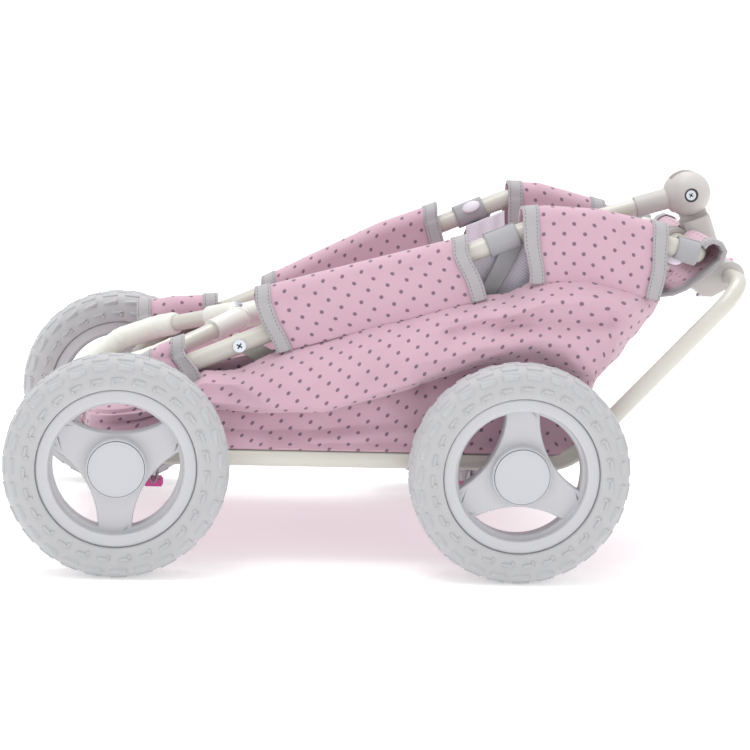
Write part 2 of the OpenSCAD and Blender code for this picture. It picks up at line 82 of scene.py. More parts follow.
# %% [markdown]
# ## Colours and shader helpers
# Colours are written as sRGB hex, as a paint chart gives them, and one function turns them into the linear
# numbers that a shader takes. `add` makes a node and fills its inputs, from a number or another socket.

# %% Colour and node helpers
def linear(hex_code):
    channels = [int(hex_code[i : i + 2], 16) / 255 for i in (1, 3, 5)]
    return [c / 12.92 if c <= 0.04045 else ((c + 0.055) / 1.055) ** 2.4 for c in channels] + [1.0]


def add(tree, kind, inputs=None, **settings):
    made = tree.nodes.new(kind)
    for name, value in settings.items():
        setattr(made, name, value)
    for name, value in (inputs or {}).items():
        if isinstance(value, bpy.types.NodeSocket):
            tree.links.new(value, made.inputs[name])
        else:
            made.inputs[name].default_value = value
    return made


def math_node(tree, operation, a, b=0.0):
    return add(tree, "ShaderNodeMath", {0: a, 1: b}, operation=operation).outputs[0]


def finish_of(name, colour, roughness, **sockets):
    """A new material with these values on its shader's own sockets."""
    made = bpy.data.materials.new(name)
    made.use_nodes = True
    shader = made.node_tree.nodes["Principled BSDF"]
    shader.inputs["Base Color"].default_value = linear(colour)
    shader.inputs["Roughness"].default_value = roughness
    for socket, value in sockets.items():
        shader.inputs[socket.replace("_", " ")].default_value = value
    return made


def emboss(material, height, depth_mm):
    """Raises the surface by a height field of 0 to 1, depth_mm at the most."""
    tree = material.node_tree
    shader = tree.nodes["Principled BSDF"]
    bump = add(tree, "ShaderNodeBump", {"Height": height, "Distance": depth_mm / 1000})
    tree.links.new(bump.outputs[0], shader.inputs["Normal"])


def noise(material, size_mm, detail=3.0):
    """Noise in the object's own space, with features of about that size."""
    tree = material.node_tree
    place = add(tree, "ShaderNodeTexCoord").outputs["Object"]
    inputs = {"Vector": place, "Scale": 1000 / size_mm, "Detail": detail}
    return add(tree, "ShaderNodeTexNoise", inputs).outputs["Fac"]


def mottle(material, light, dark, size_mm):
    """Lets the colour drift a little between two close tones."""
    tree = material.node_tree
    shader = tree.nodes["Principled BSDF"]
    mix = add(tree, "ShaderNodeMix", {"Factor": noise(material, size_mm)}, data_type="RGBA")
    mix.inputs[6].default_value = linear(dark)
    mix.inputs[7].default_value = linear(light)
    tree.links.new(mix.outputs[2], shader.inputs["Base Color"])
    return mix


print("white in linear light:", linear("#ffffff"))

# %% [markdown]
# ## Hard finishes
# Each material is named for the real stuff. The enamel is smooth with a soft highlight; the moulded plastics
# are a touch rougher with a faint moulded grain; the foams scatter light and show their pores.

# %% Hard materials
enamel = finish_of("cream_enamel_on_steel", "#cdccc2", 0.3, Coat_Weight=0.35, Coat_Roughness=0.18)
mottle(enamel, "#cfcec5", "#cac7be", 40)
emboss(enamel, noise(enamel, 1.2), 0.03)  # the slight orange peel of powder paint

hub_plastic = finish_of("moulded_beige_polypropylene", "#c8c5c3", 0.42, Subsurface_Weight=0.04)
mottle(hub_plastic, "#cac7c5", "#c2bebb", 25)
emboss(hub_plastic, noise(hub_plastic, 0.5), 0.03)  # fine grain from the mould

yoke_plastic = finish_of("moulded_white_polypropylene", "#e6e4df", 0.4, Subsurface_Weight=0.04)
emboss(yoke_plastic, noise(yoke_plastic, 0.5), 0.03)

wheel_plastic = finish_of("cool_white_wheel_plastic", "#c2c2c6", 0.34, Subsurface_Weight=0.05)
mottle(wheel_plastic, "#c4c4c8", "#bfbfc3", 30)
emboss(wheel_plastic, noise(wheel_plastic, 0.8), 0.02)

tyre_foam = finish_of("white_eva_tyre_foam", "#b9b8ba", 0.68, Subsurface_Weight=0.06, Sheen_Weight=0.15)
mottle(tyre_foam, "#bcbbbd", "#b5b4b6", 12)
emboss(tyre_foam, noise(tyre_foam, 0.9, 5.0), 0.12)  # closed cells show as a pebbled skin

grip_rubber = finish_of("cream_nbr_grip_foam", "#e2e4dc", 0.85, Sheen_Weight=0.25)
mottle(grip_rubber, "#f0f2ea", "#e2e5db", 6)
emboss(grip_rubber, noise(grip_rubber, 0.7, 6.0), 0.25)  # open pores, matt

zinc = finish_of("zinc_plated_screw", "#c9ced6", 0.28, Metallic=1.0)
emboss(zinc, noise(zinc, 0.8), 0.02)
axle_steel = finish_of("bright_axle_steel", "#c4c6c9", 0.35, Metallic=1.0)
emboss(axle_steel, noise(axle_steel, 1.5), 0.02)
# This dark finish is the real colour of the knuckle rings, and also painted shade: the shadow line round each
# cap and the recesses in the screw heads.
ring_plastic_and_painted_shade = finish_of("dark_nylon_ring_and_painted_shade", "#4a4a4d", 0.5)
emboss(ring_plastic_and_painted_shade, noise(ring_plastic_and_painted_shade, 0.4), 0.02)
button_plastic = finish_of("hot_pink_button_plastic", "#ea62b0", 0.35, Subsurface_Weight=0.08)
mottle(button_plastic, "#ec66b3", "#e455a6", 8)
emboss(button_plastic, noise(button_plastic, 0.5), 0.02)
snap_plastic = finish_of("lilac_white_snap_plastic", "#dcd5e0", 0.4)
emboss(snap_plastic, noise(snap_plastic, 0.5), 0.02)
print("hard materials:", len(bpy.data.materials))

# %% [markdown]
# ## Woven finishes
# The cloth pieces carry their own UV map in metres, so a thread is the same size on every piece. The printed
# dots are 3.2 mm across on a lattice of 11.4 mm turned 45 degrees to the grain.

# %% Woven materials
THREAD_SWELL = 2 * math.pi * 1000


def woven_height(tree, uv, warp_mm, weft_mm, skew=0.0):
    """A plain weave (or a twill, with some skew) as a height of 0 to 1."""
    parts = add(tree, "ShaderNodeSeparateXYZ", {0: uv}).outputs
    across = math_node(tree, "MULTIPLY", parts[0], THREAD_SWELL / warp_mm)
    along = math_node(tree, "MULTIPLY", parts[1], THREAD_SWELL / weft_mm)
    slanted = math_node(tree, "ADD", across, math_node(tree, "MULTIPLY", along, skew))
    product = math_node(tree, "MULTIPLY", math_node(tree, "SINE", slanted), math_node(tree, "SINE", along))
    return math_node(tree, "MULTIPLY_ADD", product, 0.5)


def uv_of(tree):
    return add(tree, "ShaderNodeUVMap", uv_map="UVMap").outputs[0]


def dotted(name, ground_light, ground_dark, dot):
    made = finish_of(name, ground_light, 0.82, Sheen_Weight=0.35, Sheen_Roughness=0.5)
    tree = made.node_tree
    uv = uv_of(tree)
    pitch, radius, soft = 0.0114, 0.0016, 0.00025
    turn = {"Vector": uv, "Rotation": (0, 0, math.pi / 4), "Scale": (1 / pitch,) * 3}
    lattice = add(tree, "ShaderNodeMapping", turn).outputs[0]
    cell = add(tree, "ShaderNodeVectorMath", {0: lattice}, operation="FRACTION").outputs[0]
    centred = add(tree, "ShaderNodeVectorMath", {0: cell, 1: (0.5, 0.5, 0)}, operation="SUBTRACT").outputs[0]
    away = add(tree, "ShaderNodeVectorMath", {0: centred}, operation="LENGTH").outputs["Value"]
    edge = {"Value": away, "From Min": (radius - soft) / pitch, "From Max": (radius + soft) / pitch,
            "To Min": 1.0, "To Max": 0.0}
    inside = add(tree, "ShaderNodeMapRange", edge).outputs[0]
    ground = mottle(made, ground_light, ground_dark, 18)
    mix = add(tree, "ShaderNodeMix", {"Factor": inside}, data_type="RGBA")
    tree.links.new(ground.outputs[2], mix.inputs[6])
    mix.inputs[7].default_value = linear(dot)
    tree.links.new(mix.outputs[2], tree.nodes["Principled BSDF"].inputs["Base Color"])
    emboss(made, woven_height(tree, uv, 0.9, 0.9), 0.07)
    return made


# Printed polyester canvas: matt, with a bloom of sheen where it turns away
canvas = dotted("pink_dotted_canvas", "#cfacbb", "#c9a5b4", "#7d6574")


def webbing_finish(name, light, dark, warp_mm, weft_mm, skew):
    made = finish_of(name, light, 0.85, Sheen_Weight=0.3)
    tree = made.node_tree
    height = woven_height(tree, uv_of(tree), warp_mm, weft_mm, skew)
    # the low points of the weave take the darker tone: painted shade between the threads, and in the mesh, in
    # its holes
    mix = add(tree, "ShaderNodeMix", {"Factor": height}, data_type="RGBA")
    mix.inputs[6].default_value = linear(dark)
    mix.inputs[7].default_value = linear(light)
    tree.links.new(mix.outputs[2], tree.nodes["Principled BSDF"].inputs["Base Color"])
    emboss(made, height, 0.16)
    return made


def stitched(material, rows_mm, thread):
    """Rows of running stitches at these distances across a tape, each stitch 2 mm long."""
    tree = material.node_tree
    parts = add(tree, "ShaderNodeSeparateXYZ", {0: uv_of(tree)}).outputs
    beat = math_node(tree, "FRACT", math_node(tree, "DIVIDE", parts[1], 0.0032))
    dash = math_node(tree, "LESS_THAN", beat, 0.62)
    row = 0.0
    for place in rows_mm:
        near = add(tree, "ShaderNodeMath", {0: parts[0], 1: place / 1000, 2: 0.0004}, operation="COMPARE")
        row = math_node(tree, "ADD", near.outputs[0], row)
    shader = tree.nodes["Principled BSDF"]
    ground = shader.inputs["Base Color"].links[0].from_socket
    both = math_node(tree, "MULTIPLY", dash, row)
    mix = add(tree, "ShaderNodeMix", {"Factor": both}, data_type="RGBA")
    tree.links.new(ground, mix.inputs[6])
    mix.inputs[7].default_value = linear(thread)
    tree.links.new(mix.outputs[2], shader.inputs["Base Color"])


# Flat polypropylene tape in a fine herringbone twill, which reads as grey up close
binding_tape = webbing_finish("grey_twill_binding_tape", "#bab7ba", "#a5a2a5", 1.5, 1.5, 0.5)
stitched(binding_tape, (1.8, 10.7), "#868389")
strap_webbing = webbing_finish("grey_strap_webbing", "#b0b0b3", "#9c9ba0", 1.9, 1.2, 0.35)
# Knitted spacer mesh: bright ribs over shaded holes
liner_mesh = webbing_finish("white_knitted_mesh", "#fbf9ff", "#cfc8dc", 2.6, 2.6, 0.0)
print("materials:", [m.name for m in bpy.data.materials])

# %% [markdown]
# ## Dressing the CAD parts
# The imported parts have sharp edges. A Weld joins the facets that the export split and a Bevel rounds each
# edge as moulding and paint do, without touching the CAD mesh itself.

# %% Materials and rounded edges on CAD nodes
SHARP_EDGE = 38  # degrees; a shallower edge belongs to a curved face
SAME_POINT = 0.00001  # metres


def dress(names, material, slot, round_mm=0.0):
    for name in names:
        part = nodes[name]
        part.data.materials.clear()
        part.data.materials.append(material)
        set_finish(part, slot)
        if round_mm:
            weld = part.modifiers.new("weld", "WELD")
            weld.merge_threshold = SAME_POINT
            bevel = part.modifiers.new("bevel", "BEVEL")
            bevel.width = round_mm / 1000
            bevel.segments = 3
            bevel.limit_method = "ANGLE"
            bevel.angle_limit = math.radians(SHARP_EDGE)


SIDES = {"left": -1, "right": 1}
WHEELS = ["front_left", "front_right", "rear_left", "rear_right"]
TUBES = ["chassis_tube_left", "chassis_tube_right", "chassis_front_bar", "chassis_rear_bar", "stay_rod",
         "rim_tube_left", "rim_tube_right", "rim_front_bar", "rim_rear_bar", "handle_stem", "handle_loop"]
STAYS = [f"{part}_stay_{side}" for part in ("upper", "lower") for side in SIDES]
dress(TUBES + STAYS, enamel, "cream_paint")
dress(["hub_upper", "hub_lower", "handle_post", "seat_bracket", "handle_knuckle"],
      hub_plastic, "hub_plastic", 1.2)
dress(["handle_yoke"], yoke_plastic, "hub_plastic", 1.5)
dress([f"{w}_rim" for w in WHEELS], wheel_plastic, "wheel_plastic", 1.6)
dress([f"{w}_cap" for w in WHEELS], wheel_plastic, "wheel_plastic", 0.8)
dress(["front_axle", "rear_axle", "axle_push_nuts"], axle_steel, "axle_steel")
dress(["wheel_spacers"], hub_plastic, "hub_plastic", 0.4)
dress(["hub_screws", "handle_pivot_bolt", "yoke_screws", "stay_screws"], zinc, "screw_chrome", 0.5)
dress(["knuckle_rings"], ring_plastic_and_painted_shade, "dark_plastic", 0.3)
dress(["fold_button", "strap_buckles"], button_plastic, "pink_plastic", 0.8)
dress(["band_snaps"], snap_plastic, "snap_plastic", 0.5)

# %% [markdown]
# ## Building pieces
# `piece` turns a bmesh into an object that sits at the origin. Shapes are written in millimetres and scaled
# at the end.

# %% Piece helper
def piece(name, shape, material, slot, sharp=None):
    mesh = bpy.data.meshes.new(name)
    bmesh.ops.scale(shape, vec=(0.001,) * 3, verts=shape.verts)
    shape.to_mesh(mesh)
    shape.free()
    for face in mesh.polygons:
        face.use_smooth = True
    if sharp:
        mesh.set_sharp_from_angle(angle=math.radians(sharp))
    mesh.materials.append(material)
    made = bpy.data.objects.new(name, mesh)
    bpy.context.collection.objects.link(made)
    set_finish(made, slot)
    return made

# %% [markdown]
# ## Tyres
# One ring is spun from a rounded section. Twenty-seven times round each sidewall it carries a raised L with
# its short leg towards the rim, a shoulder block at the edge of the tread, and between the two shoulders the
# staggered blocks that meet the floor.

# %% Spin the tyre and raise its tread
AXLE_Z = 89.0
BLOCKS = 27
STEPS_ROUND = 162
SIDEWALL_Y = 18.9
# Each block's size along the rim, out from the axle and across the tyre
L_BAR, L_LEG = (10.0, 2.6, 3.6), (2.6, 5.0, 3.6)
SHOULDER_BLOCK, EDGE_BLOCK, CENTRE_BLOCK = (13.0, 5.6, 3.6), (13.5, 3.0, 7.5), (11.5, 2.2, 9.0)
# Half of the section, from the rim's flange to the middle of the tread: radius and distance across
TYRE_SECTION = [(63.2, 16), (63.6, 18.3), (65, 19.1), (69, 19.4), (75, 19.4), (80, 18.8), (84.4, 16.8),
                (87.0, 13.4), (88.1, 8), (88.4, 0)]


def raised_block(shape, size, radius, angle, y, tilt=0.0, lean=0.0):
    """A rounded block of (along the rim, out from the axle, across) on a tyre that turns about Y."""
    along, out, across = size
    made = bmesh.ops.create_cube(shape, size=1.0)["verts"]
    bmesh.ops.scale(shape, vec=(along, across, out), verts=made)
    edges = list({e for v in made for e in v.link_edges})
    rounded = bmesh.ops.bevel(shape, geom=edges, offset=min(size) * 0.3, segments=2, profile=0.5,
                              affect="EDGES", material=-1)
    verts = list({v for f in rounded["faces"] for v in f.verts} | {v for v in made if v.is_valid})
    place = (Matrix.Rotation(angle, 4, "Y") @ Matrix.Translation((0, y, radius))
             @ Matrix.Rotation(lean, 4, "X") @ Matrix.Rotation(tilt, 4, "Y"))
    bmesh.ops.transform(shape, matrix=place, verts=verts)


def tyre_shape():
    shape = bmesh.new()
    section = TYRE_SECTION + [(r, -y) for r, y in reversed(TYRE_SECTION[:-1])]
    verts = [shape.verts.new((0, y, r)) for r, y in section]
    edges = [shape.edges.new((a, b)) for a, b in zip(verts, verts[1:] + verts[:1])]
    bmesh.ops.spin(shape, geom=verts + edges, cent=(0, 0, 0), axis=(0, 1, 0), angle=2 * math.pi,
                   steps=STEPS_ROUND, use_merge=True)
    bmesh.ops.remove_doubles(shape, verts=shape.verts, dist=0.001)
    bmesh.ops.recalc_face_normals(shape, faces=shape.faces)
    pitch = 2 * math.pi / BLOCKS
    for k in range(BLOCKS):
        for side in (-1, 1):
            here = (k + (0.25 if side > 0 else 0)) * pitch  # the two sidewalls are staggered
            raised_block(shape, L_BAR, 72.0, here, side * SIDEWALL_Y)
            raised_block(shape, L_LEG, 70.8, here - 3.7 / 71, side * SIDEWALL_Y)
            raised_block(shape, SHOULDER_BLOCK, 80.6, here + 0.3 * pitch, side * 17.5,
                         tilt=0.16, lean=-side * 0.42)
            raised_block(shape, EDGE_BLOCK, 86.8, here + 0.3 * pitch, side * 10.6, lean=-side * 0.2)
        raised_block(shape, CENTRE_BLOCK, 87.8, (k + 0.9) * pitch, 0.0)
    return shape


for wheel in WHEELS:
    low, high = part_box(f"{wheel}_tyre")
    shape = tyre_shape()
    centre = (low + high) * 500
    if centre.y > 0:
        bmesh.ops.rotate(shape, cent=(0, 0, 0), matrix=Matrix.Rotation(math.pi, 3, "Z"), verts=shape.verts)
    bmesh.ops.translate(shape, vec=(centre.x, centre.y, AXLE_Z), verts=shape.verts)
    tyre = piece(f"{wheel}_tread_tyre", shape, tyre_foam, "tyre", sharp=50)
    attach(tyre, f"{wheel}_wheel")
    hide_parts(f"{wheel}_tyre")
print("tyre faces:", len(tyre.data.polygons))

# %% [markdown]
# Each wheel's cap is a separate moulding pushed into the hub, so a fine dark line of shadow runs round it.
# The line is painted shadow: a thin dark ring, spun like the tyre.

# %% Painted shadow line round each cap
LINE_DEPTH = 0.7  # how far the ring lies below the cap's outer face
LINE_SECTION = [(0.0, -0.3), (0.0, 0.12), (0.45, 0.12), (0.45, -0.3)]
for wheel in WHEELS:
    low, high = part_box(f"{wheel}_cap")
    outer_y = (low.y if low.y < 0 else high.y) * 1000
    side = math.copysign(1, outer_y)
    centre, radius = (low + high) * 500, (high.x - low.x) * 500
    shape = bmesh.new()
    verts = [shape.verts.new((0, side * y, radius + r)) for r, y in LINE_SECTION]
    edges = [shape.edges.new((a, b)) for a, b in zip(verts, verts[1:] + verts[:1])]
    bmesh.ops.spin(shape, geom=verts + edges, cent=(0, 0, 0), axis=(0, 1, 0), angle=2 * math.pi,
                   steps=96, use_merge=True)
    bmesh.ops.remove_doubles(shape, verts=shape.verts, dist=0.001)
    bmesh.ops.recalc_face_normals(shape, faces=shape.faces)
    bmesh.ops.translate(shape, vec=(centre.x, outer_y - side * LINE_DEPTH, centre.z), verts=shape.verts)
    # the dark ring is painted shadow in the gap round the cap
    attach(piece(f"{wheel}_cap_shadow_line", shape, ring_plastic_and_painted_shade, "dark_plastic"), f"{wheel}_wheel")
print("cap radius:", round(radius, 2), "mm")

# %% [markdown]
# ## Cloth from a grid
# A cloth piece is a grid laid on a formula that gives a point for each (s, t). Its UV map is measured along
# the cloth, in metres, and its thickness comes from a Solidify. `cut` keeps the flat size of each piece.

# %% Cloth helper
cut = {}


def cloth(name, formula, cols, rows, material, slot, thick_mm=0.9, closed=False):
    shape = bmesh.new()
    bmesh.ops.create_grid(shape, x_segments=cols, y_segments=rows, size=0.5)
    verts = list(shape.verts)
    s = np.array([v.co.x + 0.5 for v in verts])
    t = np.array([v.co.y + 0.5 for v in verts])
    i, j = np.rint(s * cols).astype(int), np.rint(t * rows).astype(int)
    points = np.stack(np.broadcast_arrays(*formula(s, t)), axis=-1).astype(float)
    grid = np.zeros((cols + 1, rows + 1, 3))
    grid[i, j] = points
    step_s = np.linalg.norm(np.diff(grid, axis=0), axis=2)
    step_t = np.linalg.norm(np.diff(grid, axis=1), axis=2)
    u = np.concatenate([[0], np.cumsum(step_s.mean(axis=1))])
    v = np.concatenate([np.zeros((cols + 1, 1)), np.cumsum(step_t, axis=1)], axis=1)
    layer = shape.loops.layers.uv.new("UVMap")
    where = {vert: (u[a] / 1000, v[a, b] / 1000) for vert, a, b in zip(verts, i, j)}
    for vert, point in zip(verts, points):
        vert.co = point
    for face in shape.faces:
        for loop in face.loops:
            loop[layer].uv = where[loop.vert]
    if closed:
        bmesh.ops.remove_doubles(shape, verts=shape.verts, dist=0.001)
    area = sum(face.calc_area() for face in shape.faces) / 1e6
    width, length = u[-1] / 1000, v[:, -1].mean() / 1000
    cut[name] = (width, length, min(area, width * length))
    made = piece(name, shape, material, slot)
    solid = made.modifiers.new("thickness", "SOLIDIFY")
    solid.thickness = thick_mm / 1000
    solid.offset = 0.0
    return made


def smooth(x):
    x = np.clip(x, 0, 1)
    return x * x * (3 - 2 * x)


def ridge(x, z, line, width, height):
    """A soft fold along a line of (x, z) points that rises to height and falls off over width."""
    nearest = np.full(np.shape(x), 1e9)
    for (ax, az), (bx, bz) in zip(line, line[1:]):
        dx, dz = bx - ax, bz - az
        along = np.clip(((x - ax) * dx + (z - az) * dz) / (dx * dx + dz * dz), 0, 1)
        nearest = np.minimum(nearest, np.hypot(x - ax - along * dx, z - az - along * dz))
    return height * np.exp(-((nearest / width) ** 2))

# %% [markdown]
# ## The seat's body
# With the stroller folded, the body hangs slack. Below the flaps it bulges outwards, doubles under in a long
# lip, and runs on down to the chassis tube. The section below is drawn at each station from front to back,
# and the long folds are added as ridges.

# %% Side bodies
# Stations along the stroller: the body's top edge, the lip of its long fold, and how far it bulges
BODY_X = [-236, -210, -196, -165, -149, -133, -121, -85, -50, 0, 45, 80, 96, 109, 122, 162, 204, 221]
BODY_TOP = [124, 128, 133, 146, 155, 155, 157, 176, 186, 202, 215, 223, 225, 232, 240, 241, 232, 224]
TOP_Y, SEWN_Y = 107, 134  # inside the flaps, and on the chassis tube
TYRE_CLEAR_Y = 144  # the tyres begin at 150
FOLD_X = [-236, -196, -149, -139, -101, -49, -25, 15, 47, 89, 130, 170, 221]
FOLD_Z = [112, 118, 130, 129, 127, 130, 137, 149, 160, 176, 178, 172, 168]
BULGE_X = [-236, -196, -150, -100, -40, 20, 90, 150, 200, 221]
BULGE = [118, 122, 129, 134, 139, 140, 140, 139, 132, 122]


def body_point(side):
    def formula(s, t):
        top_x = BODY_X[0] + s * (BODY_X[-1] - BODY_X[0])
        x = top_x + smooth(t) * np.interp(s, [0, 0.85, 1], [-10, -6, -58])
        top, fold = np.interp(top_x, BODY_X, BODY_TOP), np.interp(top_x, FOLD_X, FOLD_Z)
        bulge = np.interp(top_x, BULGE_X, BULGE)
        tuck = np.interp(top_x, [-236, -196, -150, 40, 110], [0.0, 0.4, 1, 1, 0.0])
        drop = top - fold
        # stations down the cloth, from the flaps over the lip to the chassis tube
        keys = [0, 0.1, 0.25, 0.42, 0.55, 0.6, 0.645, 0.7, 0.85, 0.95, 1]
        ys = [TOP_Y + 0 * s, 113 + 0.15 * (bulge - 113), 113 + 0.7 * (bulge - 113), bulge - 2,
              bulge + 1.5 * tuck, bulge - 4 * tuck, bulge - 16 * tuck,
              bulge - (bulge - 118) * (0.45 + 0.55 * tuck), 120 + 0.3 * (1 - tuck) * (bulge - 120),
              128 + 0 * s, SEWN_Y + 0 * s]
        zs = [top, top - 0.1 * drop, top - 0.3 * drop, top - 0.62 * drop, fold + 4, fold - 1.5 * tuck,
              fold - 5 * (1 - tuck) + tuck, fold + 3 * tuck - 12 * (1 - tuck), 98 + 0.45 * (fold - 98 - 4),
              101 + 0 * s, 96.5 + 0 * s]
        ys, zs = np.stack(ys), np.stack(zs)
        k = np.clip(np.searchsorted(keys, t, side="right") - 1, 0, len(keys) - 2)
        at = np.arange(len(s))
        kk = np.array(keys)
        part = (t - kk[k]) / (kk[k + 1] - kk[k])
        ease = 0.55 * part + 0.45 * smooth(part)
        y = ys[k, at] + ease * (ys[k + 1, at] - ys[k, at])
        z = zs[k, at] + ease * (zs[k + 1, at] - zs[k, at])
        # towards the back the lower edge rises
        lift = smooth((x - 148) / 30) * smooth((t - 0.6) / 0.4)
        z = z + lift * np.clip(x - 148, 0, 40) * 0.4
        free = smooth(t / 0.12) * smooth((1 - t) / 0.08)
        push = ridge(x, z, [(20, 200), (55, 207), (95, 216)], 3.5, 3.0)
        push += ridge(x, z, [(84, 208), (112, 220), (135, 225), (170, 226), (205, 218)], 6, 5)
        push -= ridge(x, z, [(50, 194), (88, 203), (143, 204), (178, 206)], 7, 7)
        push += ridge(x, z, [(20, 162), (70, 180), (110, 190), (140, 186), (160, 168)], 9, 6)
        push -= ridge(x, z, [(30, 152), (80, 168), (116, 174), (135, 160)], 9, 8)
        push += ridge(x, z, [(-120, 146), (-60, 152), (0, 172), (50, 188)], 10, 2.5)
        push += ridge(x, z, [(-60, 104), (-10, 109), (40, 111)], 4, 2.5)
        push += ridge(x, z, [(-130, 150), (-110, 142), (-96, 133)], 5, 2.0)
        push += 1.2 * np.sin(x / 17 + z / 9) * np.sin(x / 41 + 1.3) + 0.7 * np.sin(x / 7.3 - z / 13)
        y = y + np.clip(push, -8, 8) * free
        # both ends turn inwards, where the front and back panels meet them
        corner = np.clip((s - 0.94) / 0.06, 0, 1)
        front_corner = np.clip((0.05 - s) / 0.05, 0, 1)
        x, y = x + 4 * corner * (1 - smooth(t)), y - 20 * corner ** 2 - 16 * front_corner ** 2
        return x, side * np.minimum(y, TYRE_CLEAR_Y), z
    return formula


for name, side in SIDES.items():
    body = cloth(f"{name}_seat_body_side", body_point(side), 190, 90, canvas, "dotted_fabric", 1.0)
    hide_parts(f"side_panel_{name}")
    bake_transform(body)

# %% [markdown]
# The ends of the body close the gap between the sides. The front end stops at the front bar. The back runs
# up from the chassis, loops loosely over the rim's rear bar, and its free side edge is bound with grey tape.
# Both panels start from the side body's own end and are blended over the same heights, so their seams hold as
# the seat lifts. The back is in two halves, which part at the top to clear the post.

# %% Ends of the body
# The loop's outline from the side, from the top of the bar, back, and down to the top of the side body
LOOP = [(258.5, 266), (261.5, 269.5), (266, 271.5), (273, 269.5), (277, 263.3), (274.5, 255), (266, 247),
        (256, 238.5), (247, 231), (237, 226), (225, 224)]
LOOP_SHARE = 0.42
edge_of_body = body_point(1)


def end_point(end, bow):
    """A panel between the two side bodies at s = end, bowed out by that many millimetres."""
    def formula(s, t):
        x, y, z = edge_of_body(np.full(len(t), float(end)), t)
        across = 2 * s - 1
        x = x + bow * (1 - np.abs(across) ** 3) * smooth(t / 0.15)
        return x + 1.2 * np.sin(across * 13 + z / 15) * (1 - across ** 2), y * across, z
    return formula


def loop_point(across, t):
    """The part over the rear bar, by how far across it is (0 to 1) and how far along the loop."""
    k = t * (len(LOOP) - 1)
    x = np.interp(k, range(len(LOOP)), [p[0] for p in LOOP])
    z = np.interp(k, range(len(LOOP)), [p[1] for p in LOOP])
    y = across * np.interp(k, [0, 6, 10], [97, 96, 87])
    # inboard it passes ahead of the hub
    ahead = smooth((k - 4.5) / 2) * (1 - smooth((k - 9) / 1)) * (1 - smooth((y - 74) / 12))
    return x - 9 * ahead, y, z - 2 * ahead


def back_point(side):
    lower = end_point(1, 9)

    def formula(s, t):
        opening = 0.2 * (1 - smooth((t - 0.3) / 0.15))  # clear of the post and its clip
        across = opening + (1 - opening) * s
        x1, y1, z1 = loop_point(across, np.clip(t / LOOP_SHARE, 0, 1))
        x2, y2, z2 = lower(0.5 + 0.5 * across, np.clip((t - LOOP_SHARE) / (1 - LOOP_SHARE), 0, 1))
        over = t < LOOP_SHARE
        return np.where(over, x1, x2), side * np.where(over, y1, y2), np.where(over, z1, z2)
    return formula


def bound_edge(side):
    """Tape folded round the free side edge of the loop: its outer face, the fold, then its inner face."""
    def formula(s, t):
        x, y, z = loop_point(np.ones(len(t)), t)
        x_on, _, z_on = loop_point(np.ones(len(t)), np.clip(t + 0.02, 0, 1))
        x_back, _, z_back = loop_point(np.ones(len(t)), np.clip(t - 0.02, 0, 1))
        run = np.hypot(x_on - x_back, z_on - z_back)
        fold = np.clip((s - 0.42) / 0.16, 0, 1) * np.pi
        inboard = 12 * np.clip(1 - s / 0.42, 0, 1) + 12 * np.clip((s - 0.58) / 0.42, 0, 1)
        off = 1.6 * np.cos(fold)
        return (x - (z_on - z_back) / run * off, side * (y + 1.2 * np.sin(fold) - inboard),
                z + (x_on - x_back) / run * off)
    return formula


front = cloth("seat_body_front", end_point(0, -4), 90, 50, canvas, "dotted_fabric", 1.0)
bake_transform(front)
for name, side in SIDES.items():
    back = cloth(f"{name}_seat_body_back", back_point(side), 60, 90, canvas, "dotted_fabric", 1.0)
    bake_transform(back)
    trim = cloth(f"{name}_seat_back_binding", bound_edge(side), 16, 80, binding_tape, "grey_webbing", 1.0)
    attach(trim, "seat")

# %% [markdown]
# ## Flaps round the rim
# Each flap is folded over the rim tube, with its inner side a little shorter, and its two ends are bound with
# grey tape. Its top and bottom edges are given from front to back, because slack lets some of them ride up.

# %% Flaps and their bound ends
RIM_Y = 100.0
FLAPS = {
    "front_flap_left": ([(-203, 163), (-186, 174), (-166, 182)], [(-198, 131), (-175, 138), (-150, 148)]),
    "middle_flap_left": ([(-111, 222), (-60, 236.5), (0, 253), (61, 270)],
                         [(-92, 172), (-40, 187), (20, 204), (79, 221)]),
    "rear_flap_left": ([(104, 294), (123, 296.5), (169, 295), (211, 287), (226, 284)],
                       [(112, 234), (135, 236), (162, 236), (204, 226), (221, 223)]),
    "front_flap_right": ([(-206, 178), (-175, 184), (-133, 187)], [(-200, 148), (-175, 152), (-131, 160)]),
    "middle_flap_right": ([(-95, 203), (-45, 229), (10, 256), (60, 275)],
                          [(-86, 165), (-40, 185), (20, 206), (72, 226)]),
    "rear_flap_right": ([(122, 296), (150, 296), (180, 289), (212, 281)],
                        [(124, 240), (150, 242), (180, 238), (210, 232)]),
}
ROLL = 10.5  # radius of the fold over the tube


def along_line(line, s):
    steps = np.concatenate([[0], np.cumsum([math.dist(a, b) for a, b in zip(line, line[1:])])])
    k = s * steps[-1]
    return np.interp(k, steps, [p[0] for p in line]), np.interp(k, steps, [p[1] for p in line])


def flap_point(top, bottom, side, grow=0.0):
    def formula(s, t):
        top_x, top_z = along_line(top, s)
        low_x, low_z = along_line(bottom, s)
        wall, fold = 0.42, 0.16  # shares of the cloth's length: outer wall, fold over the tube
        out = np.clip(t / wall, 0, 1)
        over = np.clip((t - wall) / fold, 0, 1) * math.pi
        back = np.clip((t - wall - fold) / (1 - wall - fold), 0, 1)
        belly = 2.6 * np.sin(np.pi * out) + 0.8 * np.sin(s * 11 + out * 3)
        y = RIM_Y + (ROLL + grow) * np.cos(over) + (1 - out) * 2.5 + belly * (t < wall) - back
        level = np.where(t < wall, out, 1 - 0.8 * back)
        x = low_x + (top_x - low_x) * level
        rise = low_z + (top_z - ROLL - low_z) * level
        z = rise + (ROLL + grow) * np.sin(over)
        x = x + 0.8 * np.sin(out * 7 + s * 5)
        return x, side * y, z
    return formula


